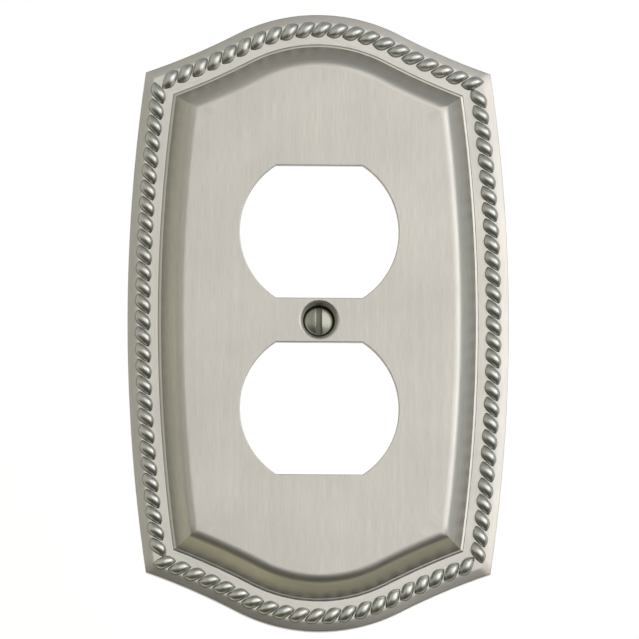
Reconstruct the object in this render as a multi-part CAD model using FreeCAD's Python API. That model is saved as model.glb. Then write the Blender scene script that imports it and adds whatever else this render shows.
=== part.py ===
import FreeCAD, Part
import math
import os

os.makedirs("parts", exist_ok=True)

# Frame: the back of the plate lies on the wall plane y = 0 and the front faces -Y.
# The origin is the centre of the screw hole on the wall plane, and +Z is up.
# A height is a distance from the wall plane towards the front.
# An inset is a distance inwards from the outline of the plate.

# Outline of the plate
plate_width = 83.2
plate_height = 135.8
side_bulge = 4.0
crown_drop = 12.85
crown_radius = 38.8
shoulder_radius = 145.2

# Border, from its outer edge inwards
edge_height = 1.8
edge_slope_width = 1.7
edge_slope_rise = 0.5
rope_margin = 0.2
rope_width = 2.85
flat_width = 2.15
quirk_width = 0.75
quirk_rise = 0.35

# Raised panel, hollow behind
panel_height = 7.1
bevel_angle = 51.0
panel_round = 1.8
wall = 1.6

# Openings for the two faces of the outlet
opening_pitch = 38.9
opening_diameter = 34.7
opening_flat = 29.1

# Beads of the rope moulding
bead_pitch = 3.58
bead_lean = 33.0
bead_width = 2.45
bead_rise = 1.25
bead_sink = 0.1
bead_sway = 0.18
bead_fullness = 0.75
bead_sides = 10
bead_rings = 3
row_lead = 2.4
row_tail = 1.05
column_lead = 2.6
column_tail = 2.2

# Oval-head screw
head_diameter = 6.5
head_rim = 0.25
head_dome = 0.85
shank_diameter = 3.5
screw_length = 12.7
neck_relief = 0.25
neck_length = 1.2
tip_chamfer = 0.5
slot_width = 1.25
slot_depth = 1.3

# Hole that the screw seats in
seat_half_angle = 41.0
seat_gap = 0.1
head_clearance = 0.35
shank_clearance = 0.35
mouth_flare = 0.6
throat_depth = 2.4
bore_length = 0.57
boss_wall = 1.0

# Overrun of a cutting tool past the face that it cuts
overrun = 1.0

# Places that follow from the sizes above
corner_x = plate_width / 2 - side_bulge
corner_z = plate_height / 2 - crown_drop
border_height = edge_height + edge_slope_rise
rope_inset = edge_slope_width + rope_margin + rope_width / 2
border_inset = edge_slope_width + rope_width + flat_width
quirk_inset = border_inset + quirk_width
quirk_height = border_height + quirk_rise
bevel_inset = quirk_inset + (panel_height - quirk_height) / math.tan(math.radians(bevel_angle))
bead_length = rope_width / math.sin(math.radians(bead_lean))
throat_diameter = head_diameter + 2 * head_clearance
hole_diameter = shank_diameter + 2 * shank_clearance


def to_front(x, z, height):
    return FreeCAD.Vector(x, -height, z)


def side_radius():
    return (corner_z**2 + side_bulge**2) / (2 * side_bulge)


def shoulder_arc():
    """Centre of the hollow arc from the crown to a corner, and the slope that it starts at."""
    crown_z = plate_height / 2 - crown_radius
    rise = corner_z - crown_z
    gap = math.hypot(corner_x, rise)
    reach = crown_radius + shoulder_radius
    turn = math.acos((gap**2 + reach**2 - shoulder_radius**2) / (2 * gap * reach))
    lean = math.atan2(corner_x, rise) - turn
    return reach * math.sin(lean), crown_z + reach * math.cos(lean), lean


def corner_point(inset):
    """Where the side arc and the shoulder arc of the upper right corner cross."""
    side = side_radius() - inset
    side_x = plate_width / 2 - side_radius()
    shoulder_x, shoulder_z = shoulder_arc()[:2]
    shoulder = shoulder_radius + inset
    gap_x = shoulder_x - side_x
    gap = math.hypot(gap_x, shoulder_z)
    along = (side**2 - shoulder**2 + gap**2) / (2 * gap)
    across = math.sqrt(side**2 - along**2)
    x = side_x + (along * gap_x + across * shoulder_z) / gap
    z = (along * shoulder_z - across * gap_x) / gap
    return x, z


def shoulder_point(inset, slope):
    """Point of the upper right shoulder where its edge falls at a slope in radians."""
    x, z = shoulder_arc()[:2]
    reach = shoulder_radius + inset
    return x - reach * math.sin(slope), z - reach * math.cos(slope)


def left(point):
    return -point[0], point[1]


def low(point):
    return point[0], -point[1]


def arc(first, middle, last, height):
    points = [to_front(x, z, height) for x, z in (first, middle, last)]
    return Part.Arc(*points).toShape()


def half_turn(edges):
    return [edge.rotated(FreeCAD.Vector(0, 0, 0), FreeCAD.Vector(0, 1, 0), 180) for edge in edges]


def top_row(inset, height, end_slope):
    """Shoulder, crown and shoulder from left to right, ending where they fall at a slope."""
    lean = shoulder_arc()[2]
    end = shoulder_point(inset, end_slope)
    middle = shoulder_point(inset, (end_slope + lean) / 2)
    start = shoulder_point(inset, lean)
    top = (0, plate_height / 2 - inset)
    return [
        arc(left(end), left(middle), left(start), height),
        arc(left(start), top, start, height),
        arc(start, middle, end, height),
    ]


def outline_runs(inset, height):
    """Clockwise from the upper left corner: top row, right column, bottom row, left column."""
    corner = corner_point(inset)
    shoulder_x, shoulder_z = shoulder_arc()[:2]
    corner_slope = math.atan2(shoulder_x - corner[0], shoulder_z - corner[1])
    row = top_row(inset, height, corner_slope)
    column = [arc(corner, (plate_width / 2 - inset, 0), low(corner), height)]
    return [row, column, half_turn(row), half_turn(column)]


def crowned_wire(inset, height):
    """Both rows run out level past the corners and joined by straight sides."""
    row = top_row(inset, height, 0)
    opposite = half_turn(row)
    ends = shoulder_point(inset, 0)
    side = Part.makeLine(to_front(*ends, height), to_front(*low(ends), height))
    return Part.Wire(Part.__sortEdges__([*row, side, *opposite, *half_turn([side])]))


def turned(profile, centre_x=0.0):
    """Solid of revolution about an axis along Y from (radius, height) points."""
    points = [to_front(centre_x - radius, 0, height) for radius, height in profile]
    face = Part.Face(Part.makePolygon(points + points[:1]))
    return face.revolve(FreeCAD.Vector(centre_x, 0, 0), FreeCAD.Vector(0, 1, 0), 360)


def tapered(sections):
    """Stack of (inset, height) sections of the outline, with its corners mitred."""
    block = Part.makeLoft([crowned_wire(inset, height) for inset, height in sections], True, True)
    radius = side_radius()
    rim = [(radius - inset, height) for inset, height in sections]
    profile = [(0, sections[0][1]), *rim, (0, sections[-1][1])]
    right_side = turned(profile, plate_width / 2 - radius)
    left_side = right_side.rotated(FreeCAD.Vector(0, 0, 0), FreeCAD.Vector(0, 1, 0), 180)
    return block.common(right_side).common(left_side)


def border():
    return tapered([(0, 0), (0, edge_height), (edge_slope_width, border_height)])


def raised_panel():
    block = tapered([
        (border_inset, 0),
        (border_inset, border_height),
        (quirk_inset, quirk_height),
        (bevel_inset, panel_height),
    ])
    rim = [edge for edge in block.Edges if edge.BoundBox.YMax < -panel_height + 0.01]
    return block.makeFillet(panel_round, rim)


def hollow():
    """Room behind the raised panel, a wall's thickness inside its bevel and its face."""
    bevel = math.radians(bevel_angle)
    roof = panel_height - wall

    def inner_inset(height):
        return quirk_inset + wall / math.sin(bevel) + (height - quirk_height) / math.tan(bevel)

    return tapered([(inner_inset(-overrun), -overrun), (inner_inset(roof), roof)])


def opening(centre_z):
    depth = panel_height + 2 * overrun
    start = FreeCAD.Vector(0, overrun, centre_z)
    back = FreeCAD.Vector(0, -1, 0)
    disc = Part.makeCylinder(opening_diameter / 2, depth, start, back)
    corner = FreeCAD.Vector(-opening_diameter / 2, overrun - depth, centre_z - opening_flat / 2)
    band = Part.makeBox(opening_diameter, depth, opening_flat, corner)
    return disc.common(band)


def seat_drop(large_diameter, small_diameter):
    return (large_diameter - small_diameter) / 2 / math.tan(math.radians(seat_half_angle))


def throat_height():
    return panel_height - throat_depth


def seat_end():
    return throat_height() - seat_drop(throat_diameter, hole_diameter)


def screw_boss():
    base = seat_end() - bore_length
    radius = throat_diameter / 2 + boss_wall
    depth = panel_height - wall / 2 - base
    return Part.makeCylinder(radius, depth, to_front(0, 0, base), FreeCAD.Vector(0, -1, 0))


def screw_hole():
    throat = throat_diameter / 2
    bore = hole_diameter / 2
    overrun_flare = mouth_flare * (1 + overrun / throat_depth)
    return turned([
        (0, -overrun),
        (bore, -overrun),
        (bore, seat_end()),
        (throat, throat_height()),
        (throat + overrun_flare, panel_height + overrun),
        (0, panel_height + overrun),
    ])


def bead_ring(position):
    """Section of a bead at a position from -1 to 1 along it, with a slight S bend."""
    size = (1 - position**2) ** bead_fullness
    sway = bead_sway * math.sin(math.pi * position)
    corners = []
    for side in range(bead_sides):
        angle = 2 * math.pi * side / bead_sides
        across = sway + size * bead_width / 2 * math.cos(angle)
        rise = size * bead_rise * math.sin(angle)
        corners.append(FreeCAD.Vector(position * bead_length / 2, -rise, across))
    return corners


def facet(*corners):
    return Part.Face(Part.makePolygon([*corners, corners[0]]))


def rope_bead():
    """Pointed bead along the X axis, closed by flat facets between even sections."""
    rings = [bead_ring(2 * index / (bead_rings + 1) - 1) for index in range(1, bead_rings + 1)]
    first_tip = FreeCAD.Vector(-bead_length / 2, 0, 0)
    last_tip = FreeCAD.Vector(bead_length / 2, 0, 0)
    facets = []
    for side in range(bead_sides):
        facets.append(facet(first_tip, rings[0][side - 1], rings[0][side]))
        facets.append(facet(last_tip, rings[-1][side], rings[-1][side - 1]))
        for ring, following in zip(rings, rings[1:]):
            facets.append(facet(ring[side - 1], following[side - 1], following[side], ring[side]))
    return Part.makeSolid(Part.makeShell(facets))


def place_along(run, lead, tail, bead):
    """Beads at an even pitch along a run of edges, each leaning outwards from the path."""
    length = sum(edge.Length for edge in run)
    spaces = round((length - lead - tail) / bead_pitch)
    pitch = (length - lead - tail) / spaces
    beads = []
    for index in range(spaces + 1):
        distance = lead + index * pitch
        for edge in run:
            if distance <= edge.Length or edge is run[-1]:
                break
            distance -= edge.Length
        parameter = edge.getParameterByLength(distance)
        point = edge.valueAt(parameter)
        travel = edge.tangentAt(parameter)
        turn = math.degrees(math.atan2(travel.z, travel.x)) + bead_lean
        copy = bead.rotated(FreeCAD.Vector(0, 0, 0), FreeCAD.Vector(0, -1, 0), turn)
        beads.append(copy.translated(point))
    return beads


def rope():
    bead = rope_bead()
    top_row, right_column, bottom_row, left_column = outline_runs(rope_inset, border_height - bead_sink)
    beads = []
    for row in (top_row, bottom_row):
        beads += place_along(row, row_lead, row_tail, bead)
    for column in (right_column, left_column):
        beads += place_along(column, column_lead, column_tail, bead)
    return beads


def wall_plate():
    body = border().fuse(raised_panel()).cut(hollow())
    body = body.fuse(screw_boss()).removeSplitter()
    body = body.cut([opening(opening_pitch / 2), opening(-opening_pitch / 2), screw_hole()])
    return body.fuse(rope())


def head_height():
    """Height of the widest edge of the screw head, resting on the seat of the hole."""
    return throat_height() - seat_drop(throat_diameter, head_diameter) + seat_gap


def screw_blank():
    head = head_diameter / 2
    shank = shank_diameter / 2
    neck = shank - neck_relief
    edge = head_height()
    tip = edge - screw_length
    neck_top = edge - seat_drop(head_diameter, 2 * neck)
    return turned([
        (0, tip),
        (shank - tip_chamfer, tip),
        (shank, tip + tip_chamfer),
        (shank, neck_top - neck_length - neck_relief),
        (neck, neck_top - neck_length),
        (neck, neck_top),
        (head, edge),
        (head, edge + head_rim),
        (0, edge + head_rim),
    ])


def head_crown():
    """Shallow dome on the rim of the head."""
    head = head_diameter / 2
    rim_height = head_height() + head_rim
    radius = (head**2 + head_dome**2) / (2 * head_dome)
    ball = Part.makeSphere(radius, to_front(0, 0, rim_height + head_dome - radius))
    stem = Part.makeCylinder(head, head_dome, to_front(0, 0, rim_height), FreeCAD.Vector(0, -1, 0))
    return ball.common(stem)


def driver_slot():
    top = head_height() + head_rim + head_dome
    corner = to_front(-slot_width / 2, -head_diameter, top + overrun)
    return Part.makeBox(slot_width, slot_depth + overrun, 2 * head_diameter, corner)


def mounting_screw():
    return screw_blank().fuse(head_crown()).removeSplitter().cut(driver_slot())


wall_plate().exportStep("parts/wall_plate.step")
mounting_screw().exportStep("parts/mounting_screw.step")
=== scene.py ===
import math

import bmesh
import bpy
from mathutils import Matrix, Vector


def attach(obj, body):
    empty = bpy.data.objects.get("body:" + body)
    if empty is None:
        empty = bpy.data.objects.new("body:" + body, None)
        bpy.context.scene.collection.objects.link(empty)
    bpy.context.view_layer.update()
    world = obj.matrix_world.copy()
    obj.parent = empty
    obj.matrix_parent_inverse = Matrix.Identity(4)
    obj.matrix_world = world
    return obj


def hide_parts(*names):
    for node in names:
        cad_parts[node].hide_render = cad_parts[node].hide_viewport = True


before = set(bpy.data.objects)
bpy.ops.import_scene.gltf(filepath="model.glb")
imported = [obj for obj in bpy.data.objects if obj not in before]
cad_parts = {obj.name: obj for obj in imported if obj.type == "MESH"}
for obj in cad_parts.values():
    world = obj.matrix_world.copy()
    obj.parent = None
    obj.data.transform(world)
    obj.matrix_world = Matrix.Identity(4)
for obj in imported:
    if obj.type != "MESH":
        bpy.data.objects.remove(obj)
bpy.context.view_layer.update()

MM = 0.001

# Outline of the plate, in millimetres as all sizes here
PLATE_WIDTH = 83.2
PLATE_HEIGHT = 135.8
SIDE_BULGE = 4.0
CROWN_DROP = 12.85
CROWN_RADIUS = 38.8
CROWN_ANGLE = math.radians(27.5)
SHOULDER_STEPS = 18
CROWN_STEPS = 28
SIDE_STEPS = 48

# Border and raised panel
WALL_EDGE_SOFTNESS = 0.12
EDGE_HEIGHT = 1.8
EDGE_SLOPE_WIDTH = 1.9
BORDER_HEIGHT = 2.3
BORDER_INSET = 6.55
QUIRK_INSET = 7.2
QUIRK_HEIGHT = 2.65
PANEL_HEIGHT = 7.1
BEVEL_ANGLE = math.radians(51.0)
BEVEL_INSET = QUIRK_INSET + (PANEL_HEIGHT - QUIRK_HEIGHT) / math.tan(BEVEL_ANGLE)
PANEL_ROUND = 2.8
PANEL_ROUND_STEPS = 12
PANEL_LEVEL_RING = 0.3
WALL = 1.6
ROOF_HEIGHT = PANEL_HEIGHT - WALL

# Openings
OPENING_PITCH = 38.9
OPENING_RADIUS = 17.35
OPENING_FLAT = 14.55
OPENING_ARC_STEPS = 28
OPENING_FLAT_STEPS = 10

# Screw hole, its boss, and the part of its throat darkened with painted shade
MOUTH_RADIUS = 4.2
THROAT_RADIUS = 3.6
THROAT_HEIGHT = 4.7
BORE_RADIUS = 2.1
BORE_LENGTH = 0.57
SEAT_TANGENT = math.tan(math.radians(41.0))
SEAT_END = THROAT_HEIGHT - (THROAT_RADIUS - BORE_RADIUS) / SEAT_TANGENT
BOSS_RADIUS = 4.6
BOSS_FOOT = 4.2
BOSS_BASE = SEAT_END - BORE_LENGTH
RECESS_RADIUS = 3.52
RECESS_TOP = 5.2

# Rope beads, with the way from a corner to the first bead and from the last bead to a corner
ROPE_INSET = 3.33
BEAD_LEAN = math.radians(28.0)
BEAD_LENGTH = 5.2
BEAD_WIDTH = 2.8
BEAD_RISE = 1.3
BEAD_SINK = 0.1
BEAD_SWAY = 0.2
BEAD_FULLNESS = 0.8
BEAD_SIDES = 16
BEAD_RINGS = 14
ROW_BEADS = 21
ROW_LEAD = 2.4
ROW_TAIL = 1.05
COLUMN_BEADS = 29
COLUMN_LEAD = 3.0
COLUMN_TAIL = 2.2

# Oval-head screw, with places on its neck and thread measured down from the neck's top
SEAT_GAP = 0.1
HEAD_RADIUS = 3.25
HEAD_RIM = 0.45
HEAD_DOME = 0.6
HEAD_EDGE = THROAT_HEIGHT - (THROAT_RADIUS - HEAD_RADIUS) / SEAT_TANGENT + SEAT_GAP
DOME_STEPS = 8
SPIN_STEPS = 64
SCREW_LENGTH = 12.7
SHANK_RADIUS = 1.75
NECK_RADIUS = 1.5
NECK_TOP = HEAD_EDGE - (HEAD_RADIUS - NECK_RADIUS) / SEAT_TANGENT
NECK_LENGTH = 1.2
NECK_END = 1.9
THREAD_START = 1.45
THREAD_PITCH = 0.794
THREAD_DEPTH = 0.42
THREAD_STEPS = 40
SLOT_WIDTH = 1.25
SLOT_DEPTH = 1.3
SLOT_EDGE_SOFTNESS = 0.05

# Camera at the photograph's angle, with the middle of the picture in pixels from the origin
CAMERA_AZIMUTH = math.radians(-2.5)
CAMERA_ELEVATION = math.radians(-8.0)
CAMERA_DISTANCE = 0.5
PICTURE_SIZE = 639
PIXELS_PER_MM = 4.585
PIXEL = 1 / PIXELS_PER_MM * MM
MIDDLE_RIGHT = 1.6
MIDDLE_UP = 4.85

# Grain for each metre: along and across the brushing on the plate, and in X, Y and Z on the rest
PLATE_BRUSHING = (230, 5200, 1)
FINE_GRAIN = (900, 900, 900)
SCREW_GRAIN = (2500, 2500, 200)

# Area lights aimed at the origin: place, width and height in metres, watts and colour
LIGHTS = {
    "key_light": ((0.27, -0.55, 0.143), (0.72, 0.48), 1.29, (1, 1, 1)),
    "low_light": ((0.273, -0.536, -0.15), (0.36, 0.2), 0.13, (1, 1, 1)),
    "side_light": ((0.6, -0.51, 0.12), (0.33, 0.6), 0.72, (0.975, 1.0, 0.995)),
}

# White backdrop behind the plate, in metres
BACKDROP_SIZE = 1.2
BACKDROP_DISTANCE = 0.45
PAPER_GLOW = 0.57

# Levels of the studio in front of and behind the plate, from straight down (0) to straight up (1)
FRONT_LEVELS = (
    (0.0, (0.06, 0.06, 0.055)),
    (0.2, (0.07, 0.07, 0.064)),
    (0.39, (0.08, 0.081, 0.076)),
    (0.5, (0.55, 0.55, 0.54)),
    (0.75, (0.5, 0.515, 0.51)),
    (1.0, (0.34, 0.35, 0.34)),
)
BACK_LEVELS = (
    (0.0, (0.75, 0.73, 0.53)),
    (0.25, (0.65, 0.64, 0.53)),
    (0.5, (0.84, 0.85, 0.81)),
    (0.75, (0.49, 0.5, 0.5)),
    (1.0, (0.35, 0.36, 0.37)),
)

# Y of a direction up to which the front levels stand alone, and from which the back levels do
FRONT_END = -0.22
BACK_START = 0.1

# What the levels are multiplied by, from the left (0) to the right (1)
SIDE_TINTS = (
    (0.0, (1.0, 1.0, 0.87)),
    (0.26, (1.55, 1.57, 1.47)),
    (0.36, (0.95, 0.96, 0.9)),
    (0.44, (1.0, 1.0, 0.95)),
    (0.6, (1.0, 1.0, 0.98)),
    (1.0, (1.0, 1.06, 1.1)),
)


def to_front(x, z, height):
    """Point in metres at a height off the wall, which is towards -Y."""
    return Vector((x * MM, -height * MM, z * MM))


def side_radius():
    corner_z = PLATE_HEIGHT / 2 - CROWN_DROP
    return (corner_z**2 + SIDE_BULGE**2) / (2 * SIDE_BULGE)


def shoulder_arc():
    """Centre and radius of the hollow arc between the crown and a corner."""
    start_x = CROWN_RADIUS * math.sin(CROWN_ANGLE)
    start_z = PLATE_HEIGHT / 2 - CROWN_RADIUS * (1 - math.cos(CROWN_ANGLE))
    run = PLATE_WIDTH / 2 - SIDE_BULGE - start_x
    drop = start_z - PLATE_HEIGHT / 2 + CROWN_DROP
    radius = math.hypot(run, drop) / (2 * math.sin(CROWN_ANGLE - math.atan2(drop, run)))
    return start_x + radius * math.sin(CROWN_ANGLE), start_z + radius * math.cos(CROWN_ANGLE), radius


def corner_point(inset):
    """Where the side arc and the shoulder arc of the upper right corner cross."""
    side = side_radius() - inset
    side_x = PLATE_WIDTH / 2 - side_radius()
    shoulder_x, shoulder_z, radius = shoulder_arc()
    gap_x = shoulder_x - side_x
    gap = math.hypot(gap_x, shoulder_z)
    along = (side**2 - (radius + inset)**2 + gap**2) / (2 * gap)
    across = math.sqrt(side**2 - along**2)
    x = side_x + (along * gap_x + across * shoulder_z) / gap
    z = (along * shoulder_z - across * gap_x) / gap
    return x, z


def shares(count):
    return [index / count for index in range(count)]


def outline_points(inset):
    """Points clockwise from the upper left corner, and the numbers of the four corners."""
    corner_x, corner_z = corner_point(inset)
    centre_x, centre_z, radius = shoulder_arc()
    reach = radius + inset
    end = math.atan2(centre_x - corner_x, centre_z - corner_z)
    half = []
    for share in shares(SHOULDER_STEPS):
        slope = end + (CROWN_ANGLE - end) * share
        half.append((-centre_x + reach * math.sin(slope), centre_z - reach * math.cos(slope)))
    crown = CROWN_RADIUS - inset
    crown_z = PLATE_HEIGHT / 2 - CROWN_RADIUS
    for share in shares(CROWN_STEPS):
        angle = CROWN_ANGLE * (2 * share - 1)
        half.append((crown * math.sin(angle), crown_z + crown * math.cos(angle)))
    for share in shares(SHOULDER_STEPS):
        slope = CROWN_ANGLE + (end - CROWN_ANGLE) * share
        half.append((centre_x - reach * math.sin(slope), centre_z - reach * math.cos(slope)))
    side = side_radius() - inset
    side_x = PLATE_WIDTH / 2 - side_radius()
    sweep = math.atan2(corner_z, corner_x - side_x)
    row = len(half)
    for share in shares(SIDE_STEPS):
        angle = sweep * (1 - 2 * share)
        half.append((side_x + side * math.cos(angle), side * math.sin(angle)))
    points = half + [(-x, -z) for x, z in half]
    return points, (0, row, len(half), len(half) + row)


def first_ring(bm, points, height):
    """Closed loop of vertices and edges at a height."""
    ring = [bm.verts.new(to_front(x, z, height)) for x, z in points]
    for vertex, following in zip(ring, ring[1:] + ring[:1]):
        bm.edges.new((vertex, following))
    return ring


def ring_edges(bm, ring):
    return [bm.edges.get((vertex, following)) for vertex, following in zip(ring, ring[1:] + ring[:1])]


def next_ring(bm, ring, points, height, corners=()):
    """Extrudes a loop and moves it to new points, with a crisp edge at each corner."""
    made = bmesh.ops.extrude_edge_only(bm, edges=ring_edges(bm, ring))["geom"]
    fresh = {item for item in made if isinstance(item, bmesh.types.BMVert)}
    following = []
    for number, vertex in enumerate(ring):
        rise = next(edge for edge in vertex.link_edges if edge.other_vert(vertex) in fresh)
        rise.smooth = number not in corners
        following.append(rise.other_vert(vertex))
    for vertex, (x, z) in zip(following, points):
        vertex.co = to_front(x, z, height)
    return following


def crisp(bm, ring):
    for edge in ring_edges(bm, ring):
        edge.smooth = False


def rounded(centre, radius, first, last, steps):
    """Points of an arc in a profile of insets and heights, between two angles."""
    points = []
    for step in range(steps + 1):
        angle = first + (last - first) * step / steps
        points.append((centre[0] + radius * math.cos(angle), centre[1] + radius * math.sin(angle)))
    return points


def slope_height(inset):
    return EDGE_HEIGHT + (BORDER_HEIGHT - EDGE_HEIGHT) * inset / EDGE_SLOPE_WIDTH


def bevel_height(inset):
    return QUIRK_HEIGHT + (inset - QUIRK_INSET) * math.tan(BEVEL_ANGLE)


def border_profile():
    """From the wall to the panel. The small offsets soften each edge by a few tenths."""
    tangent = PANEL_ROUND * math.tan(BEVEL_ANGLE / 2)
    rim = rounded((BEVEL_INSET + tangent, PANEL_HEIGHT - PANEL_ROUND), PANEL_ROUND,
                  math.pi / 2 + BEVEL_ANGLE, math.pi / 2, PANEL_ROUND_STEPS)
    rim.append((rim[-1][0] + PANEL_LEVEL_RING, PANEL_HEIGHT))
    return [
        # Outer edge
        (0.0, WALL_EDGE_SOFTNESS),
        (0.0, EDGE_HEIGHT - 0.2),
        (0.0, EDGE_HEIGHT - 0.1),
        (0.02, EDGE_HEIGHT - 0.03),
        (0.1, slope_height(0.1) - 0.01),
        (0.22, slope_height(0.22)),
        # From the outward slope onto the flat
        (EDGE_SLOPE_WIDTH - 0.3, slope_height(EDGE_SLOPE_WIDTH - 0.3)),
        (EDGE_SLOPE_WIDTH - 0.12, slope_height(EDGE_SLOPE_WIDTH - 0.12) - 0.003),
        (EDGE_SLOPE_WIDTH + 0.12, BORDER_HEIGHT - 0.003),
        (EDGE_SLOPE_WIDTH + 0.3, BORDER_HEIGHT),
        # Riser and ledge of the quirk
        (BORDER_INSET - 0.3, BORDER_HEIGHT),
        (BORDER_INSET - 0.1, BORDER_HEIGHT),
        (BORDER_INSET, BORDER_HEIGHT - 0.01),
        (BORDER_INSET + 0.06, BORDER_HEIGHT + 0.03),
        (BORDER_INSET + 0.2, BORDER_HEIGHT + 0.21),
        (BORDER_INSET + 0.26, BORDER_HEIGHT + 0.25),
        (BORDER_INSET + 0.34, BORDER_HEIGHT + 0.275),
        (QUIRK_INSET - 0.12, QUIRK_HEIGHT - 0.025),
        # Foot of the bevel
        (QUIRK_INSET, QUIRK_HEIGHT - 0.02),
        (QUIRK_INSET + 0.08, bevel_height(QUIRK_INSET + 0.08)),
        (QUIRK_INSET + 0.2, bevel_height(QUIRK_INSET + 0.2)),
        (QUIRK_INSET + 1.8, bevel_height(QUIRK_INSET + 1.8)),
    ] + rim


def opening_points(centre_z, growth):
    """Round opening with a flat top and bottom, grown outwards by some millimetres."""
    radius = OPENING_RADIUS + growth
    flat = OPENING_FLAT + growth
    corner = math.asin(flat / radius)
    points = []
    for turn in (0, math.pi):
        for share in shares(OPENING_ARC_STEPS):
            angle = turn + corner * (1 - 2 * share)
            points.append((radius * math.cos(angle), centre_z + radius * math.sin(angle)))
        end = turn - corner
        start_x = radius * math.cos(end)
        for share in shares(OPENING_FLAT_STEPS):
            points.append((start_x * (1 - 2 * share), centre_z + radius * math.sin(end)))
    return points


def circle_points(radius, count=64):
    return [(radius * math.sin(2 * math.pi * share), radius * math.cos(2 * math.pi * share))
            for share in shares(count)]


def distances(points):
    """Distance along a closed path to each of its points, and all the way round."""
    total = [0.0]
    for point, following in zip(points, points[1:] + points[:1]):
        total.append(total[-1] + math.dist(point, following))
    return total


def map_brushing(bm, places, round_way):
    """Lays the brush lines along the border's four sides, and upright on all other faces.

    A face that closes the loop has its first points a full way round and not at zero.
    """
    brush = bm.loops.layers.uv.new("brush")
    for face in bm.faces:
        known = [places.get(loop.vert) for loop in face.loops]
        if all(known):
            closing = max(place[0] for place in known) > round_way[-1] * 0.9
            for loop, (along, inset) in zip(face.loops, known):
                if closing and along < round_way[-1] * 0.1:
                    along += round_way[-1]
                loop[brush].uv = (along * MM, inset * MM)
        else:
            for loop in face.loops:
                loop[brush].uv = (loop.vert.co.z, loop.vert.co.x)


def border_rings(bm, round_way):
    """Outer rim, edge of the panel, and the way round and inset of each vertex between."""
    places = {}
    ring = rim = first_ring(bm, outline_points(WALL_EDGE_SOFTNESS)[0], 0)
    for inset, height in border_profile():
        points, corners = outline_points(inset)
        soft = 0.02 < inset < BORDER_INSET - 0.2 or inset > BEVEL_INSET
        ring = next_ring(bm, ring, points, height, () if soft else corners)
        places.update((vertex, (along, inset)) for vertex, along in zip(ring, round_way))
    return rim, ring, places


def hollow_inset(height):
    """Inset of the hollow's side at a height, one wall behind the bevel."""
    return QUIRK_INSET + WALL / math.sin(BEVEL_ANGLE) + (height - QUIRK_HEIGHT) / math.tan(BEVEL_ANGLE)


def hollow_rings(bm):
    rim = first_ring(bm, outline_points(hollow_inset(0))[0], 0)
    points, corners = outline_points(hollow_inset(ROOF_HEIGHT))
    roof_edge = next_ring(bm, rim, points, ROOF_HEIGHT, corners)
    crisp(bm, roof_edge)
    return rim, roof_edge


def opening_rings(bm, centre_z):
    """Softened front edge of an opening, and its crisp edge at the back of the panel."""
    half = OPENING_ARC_STEPS + OPENING_FLAT_STEPS
    corners = (0, OPENING_ARC_STEPS, half, half + OPENING_ARC_STEPS)
    ring = front = first_ring(bm, opening_points(centre_z, 0.24), PANEL_HEIGHT)
    for growth, drop in ((0.19, 0.0), (0.11, 0.02), (0.04, 0.08), (0.0, 0.22), (0.0, WALL)):
        ring = next_ring(bm, ring, opening_points(centre_z, growth), PANEL_HEIGHT - drop, corners)
    crisp(bm, ring)
    return front, ring


def screw_hole_rings(bm):
    """Flared mouth, throat, conical seat and bore, and the boss round them at the back."""
    ring = front = first_ring(bm, circle_points(MOUTH_RADIUS + 0.26), PANEL_HEIGHT)
    for radius, height in (
        (MOUTH_RADIUS + 0.2, PANEL_HEIGHT),
        (MOUTH_RADIUS + 0.12, PANEL_HEIGHT - 0.02),
        (MOUTH_RADIUS + 0.02, PANEL_HEIGHT - 0.06),
        (MOUTH_RADIUS - 0.16, PANEL_HEIGHT - 0.16),
        (MOUTH_RADIUS - 0.35, PANEL_HEIGHT - 0.33),
        (MOUTH_RADIUS - 0.5, PANEL_HEIGHT - 0.6),
        (THROAT_RADIUS - 0.05, PANEL_HEIGHT - 1.1),
        (THROAT_RADIUS - 0.12, THROAT_HEIGHT + 0.6),
        (THROAT_RADIUS - 0.15, THROAT_HEIGHT - 0.15 / SEAT_TANGENT),
        (BORE_RADIUS, SEAT_END),
        (BORE_RADIUS, BOSS_BASE),
        (BOSS_FOOT, BOSS_BASE),
        (BOSS_RADIUS, ROOF_HEIGHT),
    ):
        ring = next_ring(bm, ring, circle_points(radius), height)
        if height in (SEAT_END, BOSS_BASE):
            crisp(bm, ring)
    crisp(bm, ring)
    return front, ring


def paint_light_and_shade(bm, places):
    """Painted shade in the throat of the screw hole as the second material, and painted light on the
    border outside the panel as the third.
    """
    for face in bm.faces:
        centre = face.calc_center_median()
        # Painted shade: faces deep in the throat, where the gap round the screw head falls dark, get a
        # near-black material
        deep = -RECESS_TOP * MM < centre.y < -SEAT_END * MM
        if math.hypot(centre.x, centre.z) < RECESS_RADIUS * MM and deep:
            face.material_index = 1
        insets = [places[vertex][1] for vertex in face.verts if vertex in places]
        # Painted light: the border's flats get a brighter copy of the nickel, making up for the shade
        # the beads and bevel cast on them
        if len(insets) == 4 and min(insets) > EDGE_SLOPE_WIDTH and max(insets) < QUIRK_INSET + 0.05:
            face.material_index = 2


def plate_body():
    bm = bmesh.new()
    round_way = distances(outline_points(BORDER_INSET)[0])
    rim, panel_edge, places = border_rings(bm, round_way)
    inner_rim, roof_edge = hollow_rings(bm)
    holes = [
        opening_rings(bm, OPENING_PITCH / 2),
        opening_rings(bm, -OPENING_PITCH / 2),
        screw_hole_rings(bm),
    ]
    front_loops = [panel_edge] + [front for front, back in holes]
    back_loops = [roof_edge] + [back for front, back in holes]
    for loops, facing in ((front_loops, -1), (back_loops, 1), ([rim, inner_rim], 1)):
        edges = [edge for loop in loops for edge in ring_edges(bm, loop)]
        bmesh.ops.triangle_fill(bm, edges=edges, use_beauty=True, normal=(0, facing, 0))
    crisp(bm, inner_rim)
    crisp(bm, rim)
    bmesh.ops.recalc_face_normals(bm, faces=bm.faces)
    paint_light_and_shade(bm, places)
    map_brushing(bm, {vertex: place for vertex, place in places.items() if vertex.is_valid}, round_way)
    return bm


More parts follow.
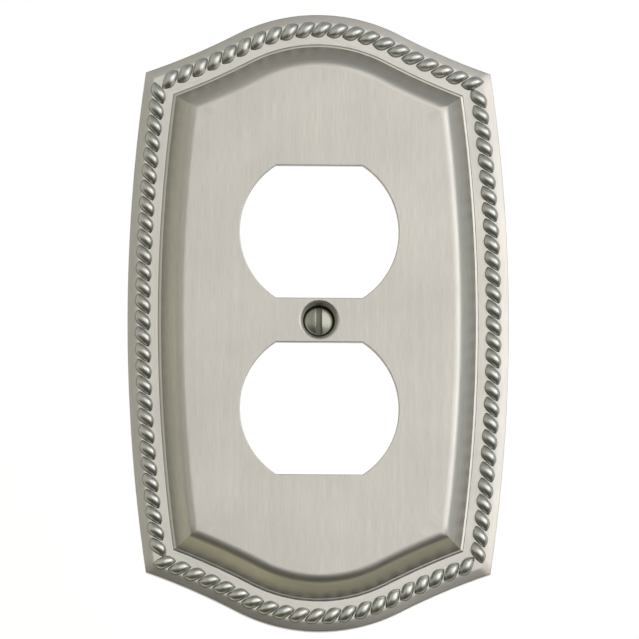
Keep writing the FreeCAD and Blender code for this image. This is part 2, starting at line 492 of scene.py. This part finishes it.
def bead_mesh():
    """Pointed bead along the X axis with a slight S bend, from a round ball."""
    bm = bmesh.new()
    bmesh.ops.create_uvsphere(bm, u_segments=BEAD_SIDES, v_segments=BEAD_RINGS, radius=1.0,
                              matrix=Matrix.Rotation(math.pi / 2, 4, "Y"))
    for vertex in bm.verts:
        position = max(-1.0, min(1.0, vertex.co.x))
        around = math.sqrt(max(0.0, 1 - position**2))
        size = (1 - position**2) ** BEAD_FULLNESS
        fullness = size / around if around > 1e-6 else 0.0
        sway = BEAD_SWAY * math.sin(math.pi * position)
        across = sway + fullness * vertex.co.z * BEAD_WIDTH / 2
        rise = fullness * vertex.co.y * BEAD_RISE
        vertex.co = Vector((position * BEAD_LENGTH / 2 * MM, rise * MM, across * MM))
    return bm


def path_runs(inset):
    """The points of a path, cut at its corners into top row, column, bottom row and column."""
    points, corners = outline_points(inset)
    ends = list(corners[1:]) + [len(points)]
    closed = points + points[:1]
    return [closed[start:end + 1] for start, end in zip(corners, ends)]


def along_run(run, distance):
    """Point at a distance along a run, and the direction of travel there."""
    for (x, z), (next_x, next_z) in zip(run, run[1:]):
        step = math.hypot(next_x - x, next_z - z)
        if distance <= step:
            break
        distance -= step
    share = distance / step
    point = (x + (next_x - x) * share, z + (next_z - z) * share)
    return point, math.atan2(next_z - z, next_x - x)


def rope():
    """The beads of all four sides, at an even pitch on each and leaning across the path."""
    single = bead_mesh()
    shape = bpy.data.meshes.new("bead_pattern")
    single.to_mesh(shape)
    single.free()
    bm = bmesh.new()
    layout = ((ROW_BEADS, ROW_LEAD, ROW_TAIL), (COLUMN_BEADS, COLUMN_LEAD, COLUMN_TAIL)) * 2
    for run, (count, lead, tail) in zip(path_runs(ROPE_INSET), layout):
        length = sum(math.dist(point, following) for point, following in zip(run, run[1:]))
        for index in range(count):
            (x, z), travel = along_run(run, lead + (length - lead - tail) * index / (count - 1))
            before = len(bm.verts)
            bm.from_mesh(shape)
            bm.verts.ensure_lookup_table()
            fresh = bm.verts[before:]
            bmesh.ops.rotate(bm, verts=fresh, cent=(0, 0, 0),
                             matrix=Matrix.Rotation(-(travel + BEAD_LEAN), 3, "Y"))
            bmesh.ops.translate(bm, verts=fresh, vec=to_front(x, z, BORDER_HEIGHT - BEAD_SINK))
    bpy.data.meshes.remove(shape)
    return bm


def spin_profile(bm, profile, turns, steps, **options):
    """Turns (radius, height) points about the screw's axis."""
    vertices = [bm.verts.new(to_front(radius, 0, height)) for radius, height in profile]
    edges = [bm.edges.new(pair) for pair in zip(vertices, vertices[1:])]
    bmesh.ops.spin(bm, geom=vertices + edges, cent=(0, 0, 0), axis=(0, 1, 0),
                   angle=2 * math.pi * turns, steps=steps, use_duplicate=False, **options)


def screw_head():
    """Neck, countersunk cone, rim and dome of the screw, above its thread."""
    rim_top = HEAD_EDGE + HEAD_RIM
    sphere = (HEAD_RADIUS**2 + HEAD_DOME**2) / (2 * HEAD_DOME)
    profile = [
        (0, NECK_TOP - NECK_END),
        (NECK_RADIUS - 0.2, NECK_TOP - NECK_END),
        (NECK_RADIUS, NECK_TOP - NECK_LENGTH),
        (NECK_RADIUS, NECK_TOP),
        (HEAD_RADIUS - 0.05, HEAD_EDGE - 0.03),
        (HEAD_RADIUS, HEAD_EDGE + 0.03),
        (HEAD_RADIUS, rim_top - 0.04),
        (HEAD_RADIUS - 0.04, rim_top + 0.02),
    ]
    for step in range(1, DOME_STEPS + 1):
        radius = HEAD_RADIUS * (1 - step / DOME_STEPS)
        profile.append((radius, rim_top + HEAD_DOME - sphere + math.sqrt(sphere**2 - radius**2)))
    bm = bmesh.new()
    spin_profile(bm, profile, 1, SPIN_STEPS, use_merge=True)
    bmesh.ops.remove_doubles(bm, verts=bm.verts, dist=1e-7)
    bmesh.ops.recalc_face_normals(bm, faces=bm.faces)
    return bm


def screw_thread():
    """Helical thread, turned one pitch per turn, cut level at both ends and run out there."""
    tip = HEAD_EDGE - SCREW_LENGTH
    top = NECK_TOP - THREAD_START
    core = SHANK_RADIUS - THREAD_DEPTH
    low = tip - THREAD_PITCH
    groove = [
        (core, 0.0),
        (core, 0.1),
        (SHANK_RADIUS, 0.36),
        (SHANK_RADIUS, 0.48),
        (core, 0.74),
        (core, THREAD_PITCH),
    ]
    turns = math.ceil((top - low) / THREAD_PITCH) + 1
    bm = bmesh.new()
    spin_profile(bm, [(radius, low + height) for radius, height in groove], turns, THREAD_STEPS * turns,
                 dvec=(0, -THREAD_PITCH * MM / THREAD_STEPS, 0), use_merge=False)
    bmesh.ops.remove_doubles(bm, verts=bm.verts, dist=2e-7)
    for height, outward in ((tip + 0.02, 1), (top, -1)):
        cut = bmesh.ops.bisect_plane(bm, geom=bm.verts[:] + bm.edges[:] + bm.faces[:], dist=1e-8,
                                     plane_co=(0, -height * MM, 0), plane_no=(0, outward, 0),
                                     clear_outer=True)
        edges = [item for item in cut["geom_cut"] if isinstance(item, bmesh.types.BMEdge)]
        bmesh.ops.edgeloop_fill(bm, edges=edges)
    for vertex in bm.verts:
        height = -vertex.co.y / MM
        reach = min(SHANK_RADIUS, core - 0.15 + max(0.0, height - tip), core + max(0.0, top - height))
        radius = math.hypot(vertex.co.x, vertex.co.z) / MM
        if radius > reach:
            vertex.co.x *= reach / radius
            vertex.co.z *= reach / radius
    bmesh.ops.recalc_face_normals(bm, faces=bm.faces)
    return bm


def cut_slot(head):
    """Driver slot right across the head, by a box that is taken away again."""
    top = HEAD_EDGE + HEAD_RIM + HEAD_DOME
    bm = bmesh.new()
    bmesh.ops.create_cube(bm, size=1.0)
    bmesh.ops.scale(bm, vec=(SLOT_WIDTH * MM, (SLOT_DEPTH + 1) * MM, 8 * MM), verts=bm.verts)
    bmesh.ops.translate(bm, vec=(0, -(top + (1 - SLOT_DEPTH) / 2) * MM, 0), verts=bm.verts)
    shape = bpy.data.meshes.new("slot_shape")
    bm.to_mesh(shape)
    bm.free()
    cutter = bpy.data.objects.new("slot_shape", shape)
    bpy.context.scene.collection.objects.link(cutter)
    slot = head.modifiers.new("slot", "BOOLEAN")
    slot.object = cutter
    slot.operation = "DIFFERENCE"
    slot.solver = "EXACT"
    soft = head.modifiers.new("soft_edges", "BEVEL")
    soft.width = SLOT_EDGE_SOFTNESS * MM
    soft.segments = 2
    soft.limit_method = "ANGLE"
    soft.angle_limit = math.radians(50)
    bpy.context.view_layer.update()
    finished = bpy.data.meshes.new_from_object(head.evaluated_get(bpy.context.evaluated_depsgraph_get()))
    head.modifiers.clear()
    plain = head.data
    head.data = finished
    bpy.data.meshes.remove(plain)
    bpy.data.objects.remove(cutter)
    bpy.data.meshes.remove(shape)


def paint_slot_shade(head):
    """Painted shade on the walls and the floor of the slot, as the second material."""
    for face in head.data.polygons:
        across = abs(face.center.x)
        height = -face.center.y
        wall = abs(face.normal.x) > 0.7 and across < 0.7 * SLOT_WIDTH * MM
        floor = across < 0.55 * SLOT_WIDTH * MM and height < (HEAD_EDGE + 0.2) * MM
        if height > (HEAD_EDGE - 0.3) * MM and (wall or floor):
            face.material_index = 1


def make_piece(name, bm, smooth_angle=None):
    mesh = bpy.data.meshes.new(name)
    for face in bm.faces:
        face.smooth = True
    bm.to_mesh(mesh)
    bm.free()
    if smooth_angle is not None:
        mesh.set_sharp_from_angle(angle=math.radians(smooth_angle))
    piece = bpy.data.objects.new(name, mesh)
    bpy.context.scene.collection.objects.link(piece)
    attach(piece, "root")
    return piece


def add_node(tree, kind, place, **sockets):
    """New node with its sockets set by name, where an underscore stands for a space."""
    node = tree.nodes.new(kind)
    node.location = place
    for name, value in sockets.items():
        node.inputs[name.replace("_", " ")].default_value = value
    return node


def add_colour_mix(tree, place, multiply=True):
    """Mix of two colours, in sockets 6 and 7 with the result in output 2."""
    node = add_node(tree, "ShaderNodeMix", place)
    node.data_type = "RGBA"
    if multiply:
        node.blend_type = "MULTIPLY"
        node.inputs[0].default_value = 1.0
    return node


def add_ramp(tree, place, levels):
    """Colour ramp through (position, colour) levels."""
    node = add_node(tree, "ShaderNodeValToRGB", place)
    ramp = node.color_ramp
    ramp.elements.remove(ramp.elements[1])
    ramp.elements[0].position = levels[0][0]
    ramp.elements[0].color = (*levels[0][1], 1)
    for position, colour in levels[1:]:
        ramp.elements.new(position).color = (*colour, 1)
    return node


def add_painted_crevice_shade(tree, coordinates, finish, low, high, depth):
    """Painted shade: darkens the finish below one height and leaves it clear above another."""
    parts = add_node(tree, "ShaderNodeSeparateXYZ", (-700, 650))
    height = add_node(tree, "ShaderNodeMapRange", (-480, 650), From_Min=-low * MM, From_Max=-high * MM)
    dark = add_ramp(tree, (-220, 650), ((0.0, (depth, depth * 0.97, depth * 0.86)), (1.0, (1, 1, 1))))
    shaded_finish = add_colour_mix(tree, (350, 350))
    links = tree.links
    links.new(coordinates, parts.inputs["Vector"])
    links.new(parts.outputs["Y"], height.inputs["Value"])
    links.new(height.outputs["Result"], dark.inputs["Fac"])
    links.new(finish, shaded_finish.inputs[6])
    links.new(dark.outputs["Color"], shaded_finish.inputs[7])
    return shaded_finish.outputs[2]


def brushed_nickel(name, colour, roughness, stretch_scale, grain_bump, brush_map=None, crevice_shade=None):
    """Satin nickel with fine brush lines: the mapping stretches the grain along the brushing. Painted
    crevice shade can darken its lowest part.
    """
    material = bpy.data.materials.new(name)
    material.use_nodes = True
    tree = material.node_tree
    tree.nodes.clear()
    output = add_node(tree, "ShaderNodeOutputMaterial", (900, 0))
    metal = add_node(tree, "ShaderNodeBsdfPrincipled", (600, 0), Metallic=1.0)
    place = add_node(tree, "ShaderNodeTexCoord", (-900, -100))
    stretch = add_node(tree, "ShaderNodeMapping", (-700, 0), Scale=stretch_scale)
    lines = add_node(tree, "ShaderNodeTexNoise", (-480, 160), Scale=1.0, Detail=3.0, Roughness=0.65)
    broad = add_node(tree, "ShaderNodeTexNoise", (-480, -160), Scale=60.0, Detail=2.0, Roughness=0.5)
    tint = add_ramp(tree, (-220, 160), ((0.25, [part * 0.9 for part in colour]),
                                        (0.75, [part * 1.09 for part in colour])))
    sweep = add_node(tree, "ShaderNodeMapping", (-700, 400), Scale=[part / 7 for part in stretch_scale])
    bands = add_node(tree, "ShaderNodeTexNoise", (-480, 400), Scale=1.0, Detail=2.0, Roughness=0.5)
    shade = add_ramp(tree, (-220, 400), ((0.3, (0.92, 0.93, 0.94)), (0.7, (1.0, 0.982, 0.974))))
    worn = add_colour_mix(tree, (150, 250))
    gloss = add_node(tree, "ShaderNodeMapRange", (-220, -160),
                     To_Min=roughness - 0.05, To_Max=roughness + 0.07)
    grain = add_node(tree, "ShaderNodeBump", (100, -300), Strength=grain_bump, Distance=0.00002)
    coordinates = place.outputs["Object"]
    laid = coordinates
    if brush_map:
        brush = add_node(tree, "ShaderNodeUVMap", (-900, 100))
        brush.uv_map = brush_map
        laid = brush.outputs["UV"]
    links = tree.links
    links.new(laid, stretch.inputs["Vector"])
    links.new(laid, sweep.inputs["Vector"])
    links.new(sweep.outputs["Vector"], bands.inputs["Vector"])
    links.new(bands.outputs["Fac"], shade.inputs["Fac"])
    links.new(tint.outputs["Color"], worn.inputs[6])
    links.new(shade.outputs["Color"], worn.inputs[7])
    links.new(stretch.outputs["Vector"], lines.inputs["Vector"])
    links.new(coordinates, broad.inputs["Vector"])
    links.new(lines.outputs["Fac"], tint.inputs["Fac"])
    links.new(broad.outputs["Fac"], gloss.inputs["Value"])
    links.new(lines.outputs["Fac"], grain.inputs["Height"])
    finish = worn.outputs[2]
    # Painted shade in the crevices low down, where the beads meet the bed
    if crevice_shade:
        finish = add_painted_crevice_shade(tree, coordinates, finish, *crevice_shade)
    links.new(finish, metal.inputs["Base Color"])
    links.new(gloss.outputs["Result"], metal.inputs["Roughness"])
    links.new(grain.outputs["Normal"], metal.inputs["Normal"])
    links.new(metal.outputs["BSDF"], output.inputs["Surface"])
    return material


def area_light(name, place, size, power, colour):
    data = bpy.data.lights.new(name, "AREA")
    data.shape = "RECTANGLE"
    data.size, data.size_y = size
    data.energy = power
    data.color = colour
    light = bpy.data.objects.new(name, data)
    light.location = place
    light.rotation_euler = (-Vector(place)).to_track_quat("-Z", "Y").to_euler()
    bpy.context.scene.collection.objects.link(light)


def set_camera():
    """Parallel view from slightly below and slightly left of the plate's middle."""
    away = Vector((math.sin(CAMERA_AZIMUTH) * math.cos(CAMERA_ELEVATION),
                   -math.cos(CAMERA_AZIMUTH) * math.cos(CAMERA_ELEVATION),
                   math.sin(CAMERA_ELEVATION)))
    turn = (-away).to_track_quat("-Z", "Y")
    right = turn @ Vector((1, 0, 0))
    up = turn @ Vector((0, 1, 0))
    centre = right * (MIDDLE_RIGHT * PIXEL) + up * (MIDDLE_UP * PIXEL)
    data = bpy.data.cameras.new("camera")
    data.type = "ORTHO"
    data.ortho_scale = PICTURE_SIZE * PIXEL
    data.clip_start = 0.001
    data.clip_end = 10
    camera = bpy.data.objects.new("camera", data)
    camera.location = centre + away * CAMERA_DISTANCE
    camera.rotation_euler = turn.to_euler()
    bpy.context.scene.collection.objects.link(camera)
    bpy.context.scene.camera = camera


def white_paper():
    """Pale paper that reads as white to the camera and to the metal, and keeps a shadow."""
    paper = bpy.data.materials.new("white_paper")
    paper.use_nodes = True
    tree = paper.node_tree
    tree.nodes.clear()
    output = add_node(tree, "ShaderNodeOutputMaterial", (600, 0))
    both = add_node(tree, "ShaderNodeAddShader", (400, 0))
    matt = add_node(tree, "ShaderNodeBsdfDiffuse", (0, 100), Color=(0.9, 0.9, 0.9, 1))
    glow = add_node(tree, "ShaderNodeEmission", (200, -100), Color=(1, 1, 1, 1))
    path = add_node(tree, "ShaderNodeLightPath", (-600, -100))
    seen = path.outputs["Is Camera Ray"]
    for step, ray in enumerate(("Is Glossy Ray", "Is Transmission Ray")):
        either = add_node(tree, "ShaderNodeMath", (-400 + 200 * step, -100))
        either.operation = "MAXIMUM"
        tree.links.new(seen, either.inputs[0])
        tree.links.new(path.outputs[ray], either.inputs[1])
        seen = either.outputs[0]
    level = add_node(tree, "ShaderNodeMath", (0, -100))
    level.operation = "MULTIPLY"
    level.inputs[1].default_value = PAPER_GLOW
    tree.links.new(seen, level.inputs[0])
    tree.links.new(level.outputs[0], glow.inputs["Strength"])
    tree.links.new(matt.outputs["BSDF"], both.inputs[0])
    tree.links.new(glow.outputs["Emission"], both.inputs[1])
    tree.links.new(both.outputs["Shader"], output.inputs["Surface"])
    return paper


def studio_world():
    """Pale studio room, darker underneath and overhead, with a dim floor in front."""
    world = bpy.data.worlds.new("studio")
    world.use_nodes = True
    tree = world.node_tree
    sky = tree.nodes["Background"]
    place = add_node(tree, "ShaderNodeTexCoord", (-900, 0))
    parts = add_node(tree, "ShaderNodeSeparateXYZ", (-700, 0))
    height = add_node(tree, "ShaderNodeMapRange", (-500, 100), From_Min=-1.0)
    depth = add_node(tree, "ShaderNodeMapRange", (-500, -200), From_Min=FRONT_END, From_Max=BACK_START)
    across = add_node(tree, "ShaderNodeMapRange", (-500, -500), From_Min=-1.0)
    front = add_ramp(tree, (-300, 200), FRONT_LEVELS)
    back = add_ramp(tree, (-300, -50), BACK_LEVELS)
    tints = add_ramp(tree, (-300, -400), SIDE_TINTS)
    mixed = add_colour_mix(tree, (0, 0), multiply=False)
    tinted = add_colour_mix(tree, (200, 0))
    links = tree.links
    links.new(place.outputs["Generated"], parts.inputs["Vector"])
    links.new(parts.outputs["Z"], height.inputs["Value"])
    links.new(parts.outputs["Y"], depth.inputs["Value"])
    links.new(parts.outputs["X"], across.inputs["Value"])
    links.new(height.outputs["Result"], front.inputs["Fac"])
    links.new(height.outputs["Result"], back.inputs["Fac"])
    links.new(across.outputs["Result"], tints.inputs["Fac"])
    links.new(depth.outputs["Result"], mixed.inputs[0])
    links.new(front.outputs["Color"], mixed.inputs[6])
    links.new(back.outputs["Color"], mixed.inputs[7])
    links.new(mixed.outputs[2], tinted.inputs[6])
    links.new(tints.outputs["Color"], tinted.inputs[7])
    links.new(tinted.outputs[2], sky.inputs["Color"])
    sky.location = (400, 0)
    tree.nodes["World Output"].location = (600, 0)
    bpy.context.scene.world = world


def set_surroundings():
    bm = bmesh.new()
    upright = Matrix.Translation((0, BACKDROP_DISTANCE, 0)) @ Matrix.Rotation(math.pi / 2, 4, "X")
    bmesh.ops.create_grid(bm, x_segments=1, y_segments=1, size=BACKDROP_SIZE, matrix=upright)
    mesh = bpy.data.meshes.new("backdrop")
    bm.to_mesh(mesh)
    bm.free()
    backdrop = bpy.data.objects.new("backdrop", mesh)
    bpy.context.scene.collection.objects.link(backdrop)
    mesh.materials.append(white_paper())
    studio_world()
    for name, values in LIGHTS.items():
        area_light(name, *values)


set_camera()
set_surroundings()
plate_finish = brushed_nickel("brushed_nickel_plate", (0.587, 0.555, 0.513), 0.42,
                              PLATE_BRUSHING, 0.45, "brush")
# Painted light: a brighter copy of the plate's nickel on the border's flats, in place of the light the
# beads and bevel shade off
border_painted_light = brushed_nickel("brushed_nickel_border_painted_light", (0.63, 0.605, 0.56), 0.42,
                               PLATE_BRUSHING, 0.45, "brush")
# Painted shade: a near-black copy of the nickel for the dark gap in the screw hole's throat
recess_painted_shade = brushed_nickel("nickel_recess_painted_shade", (0.12, 0.115, 0.095), 0.6, FINE_GRAIN, 0.1)
# Painted shade near the bed, darkening the beads' lower edges where the crevices fall in shade
rope_finish_with_painted_shade = brushed_nickel("satin_nickel_rope_painted_shade", (0.575, 0.568, 0.53), 0.34, FINE_GRAIN, 0.15,
                             crevice_shade=(2.28, 2.7, 0.42))
screw_finish = brushed_nickel("satin_nickel_screw", (0.385, 0.38, 0.325), 0.24, SCREW_GRAIN, 0.3)
# Painted shade: a dark copy of the screw's nickel for the slot's walls and floor
slot_painted_shade = brushed_nickel("nickel_slot_painted_shade", (0.22, 0.215, 0.18), 0.45, SCREW_GRAIN, 0.3)

body = make_piece("plate_body", plate_body())
body.data.materials.append(plate_finish)
body.data.materials.append(recess_painted_shade)
body.data.materials.append(border_painted_light)
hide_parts("wall_plate")

beads = make_piece("rope_moulding", rope())
beads.data.materials.append(rope_finish_with_painted_shade)
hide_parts("wall_plate")

head = make_piece("screw_head", screw_head())
cut_slot(head)
head.data.set_sharp_from_angle(angle=math.radians(40))
head.data.materials.append(screw_finish)
head.data.materials.append(slot_painted_shade)
paint_slot_shade(head)
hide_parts("mounting_screw")

thread = make_piece("screw_thread", screw_thread(), 40)
thread.data.materials.append(screw_finish)
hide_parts("mounting_screw")

bpy.context.scene.view_settings.view_transform = "Standard"
